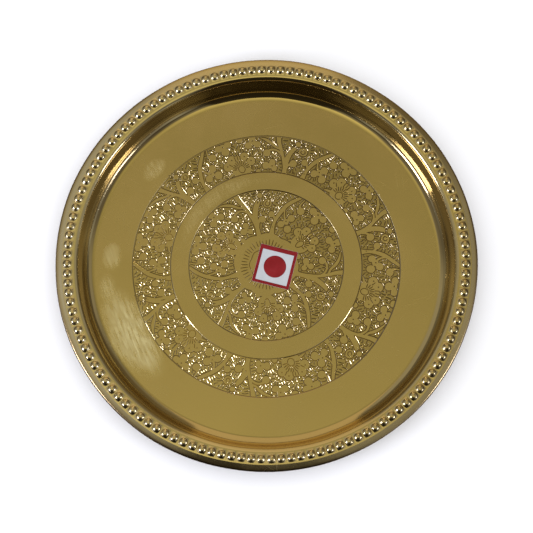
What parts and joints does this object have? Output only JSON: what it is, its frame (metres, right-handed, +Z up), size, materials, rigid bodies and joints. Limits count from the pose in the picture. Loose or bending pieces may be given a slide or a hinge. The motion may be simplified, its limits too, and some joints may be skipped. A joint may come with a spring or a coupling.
{
  "type": "serving tray",
  "caption": "Round brass serving tray with an engraved flower band, ogee wall, beaded rim, wired edge and a small paper size label.",
  "frame": {"origin": "middle of the floor's underside, on the table", "axes": "+Z up out of the dish, the tray's axis of revolution; +Y points away from a person who reads the label the right way up, +X to the right"},
  "size_m": [0.2032, 0.2032, 0.0144],
  "materials": {
    "brass": "polished, lightly scratched",
    "wire": "drawn",
    "label_paper": "satin coated paper",
    "label_ink": "printed ink"
  },
  "bodies": {
    "root": {"tray_pan": "brass", "rim_wire": "wire", "size_label": "label_paper", "size_label_print": "label_ink"}
  },
  "joints": []
}
